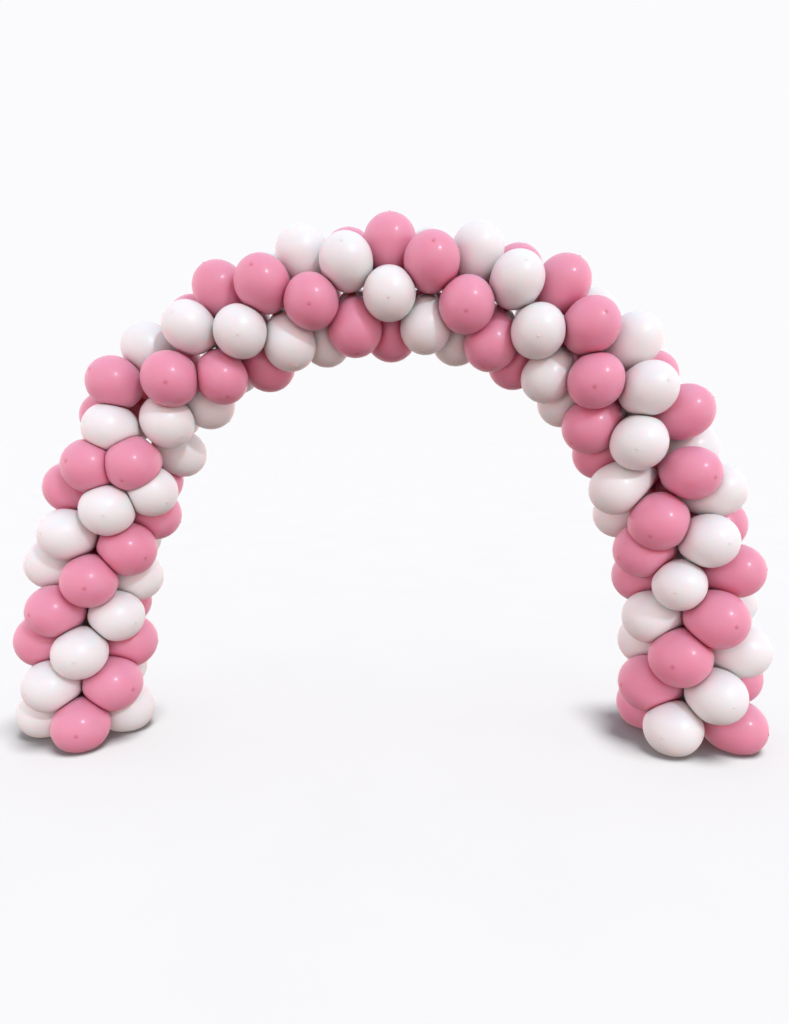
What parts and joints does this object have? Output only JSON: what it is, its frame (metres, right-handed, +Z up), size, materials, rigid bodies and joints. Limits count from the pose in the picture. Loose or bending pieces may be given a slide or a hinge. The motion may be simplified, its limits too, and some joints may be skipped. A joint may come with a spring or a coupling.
{
  "type": "balloon garland",
  "caption": "Free-standing arch of pink and white latex balloons, knotted in clusters that spiral from one foot to the other.",
  "frame": {"origin": "on the floor, under the middle of the arch's bounding box", "axes": "+X to the right foot as the front is seen, -Y towards the viewer (the front), +Z up"},
  "size_m": [3.888, 0.7402, 2.6249],
  "materials": {
    "pink_latex": "glossy stretched latex, slightly translucent",
    "white_latex": "glossy stretched latex, slightly translucent"
  },
  "bodies": {
    "root": {"foot_left_pink": "pink_latex", "foot_left_white": "white_latex", "pink_pair_04": "pink_latex", "white_pair_04": "white_latex", "pink_pair_05": "pink_latex", "white_pair_05": "white_latex", "pink_pair_06": "pink_latex", "white_pair_06": "white_latex", "pink_pair_07": "pink_latex", "white_pair_07": "white_latex", "pink_pair_08": "pink_latex", "white_pair_08": "white_latex", "pink_pair_09": "pink_latex", "white_pair_09": "white_latex", "pink_pair_10": "pink_latex", "white_pair_10": "white_latex", "pink_pair_11": "pink_latex", "white_pair_11": "white_latex", "pink_pair_12": "pink_latex", "white_pair_12": "white_latex", "pink_pair_13": "pink_latex", "white_pair_13": "white_latex", "pink_pair_14": "pink_latex", "white_pair_14": "white_latex", "pink_pair_15": "pink_latex", "white_pair_15": "white_latex", "pink_pair_16": "pink_latex", "white_pair_16": "white_latex", "pink_pair_17": "pink_latex", "white_pair_17": "white_latex", "pink_pair_18": "pink_latex", "white_pair_18": "white_latex", "pink_pair_19": "pink_latex", "white_pair_19": "white_latex", "pink_pair_20": "pink_latex", "white_pair_20": "white_latex", "pink_pair_21": "pink_latex", "white_pair_21": "white_latex", "pink_pair_22": "pink_latex", "white_pair_22": "white_latex", "pink_pair_23": "pink_latex", "white_pair_23": "white_latex", "pink_pair_24": "pink_latex", "white_pair_24": "white_latex", "pink_pair_25": "pink_latex", "white_pair_25": "white_latex", "pink_pair_26": "pink_latex", "white_pair_26": "white_latex", "pink_pair_27": "pink_latex", "white_pair_27": "white_latex", "pink_pair_28": "pink_latex", "white_pair_28": "white_latex", "pink_pair_29": "pink_latex", "white_pair_29": "white_latex", "pink_pair_30": "pink_latex", "white_pair_30": "white_latex", "foot_right_pink": "pink_latex", "foot_right_white": "white_latex"}
  },
  "joints": []
}
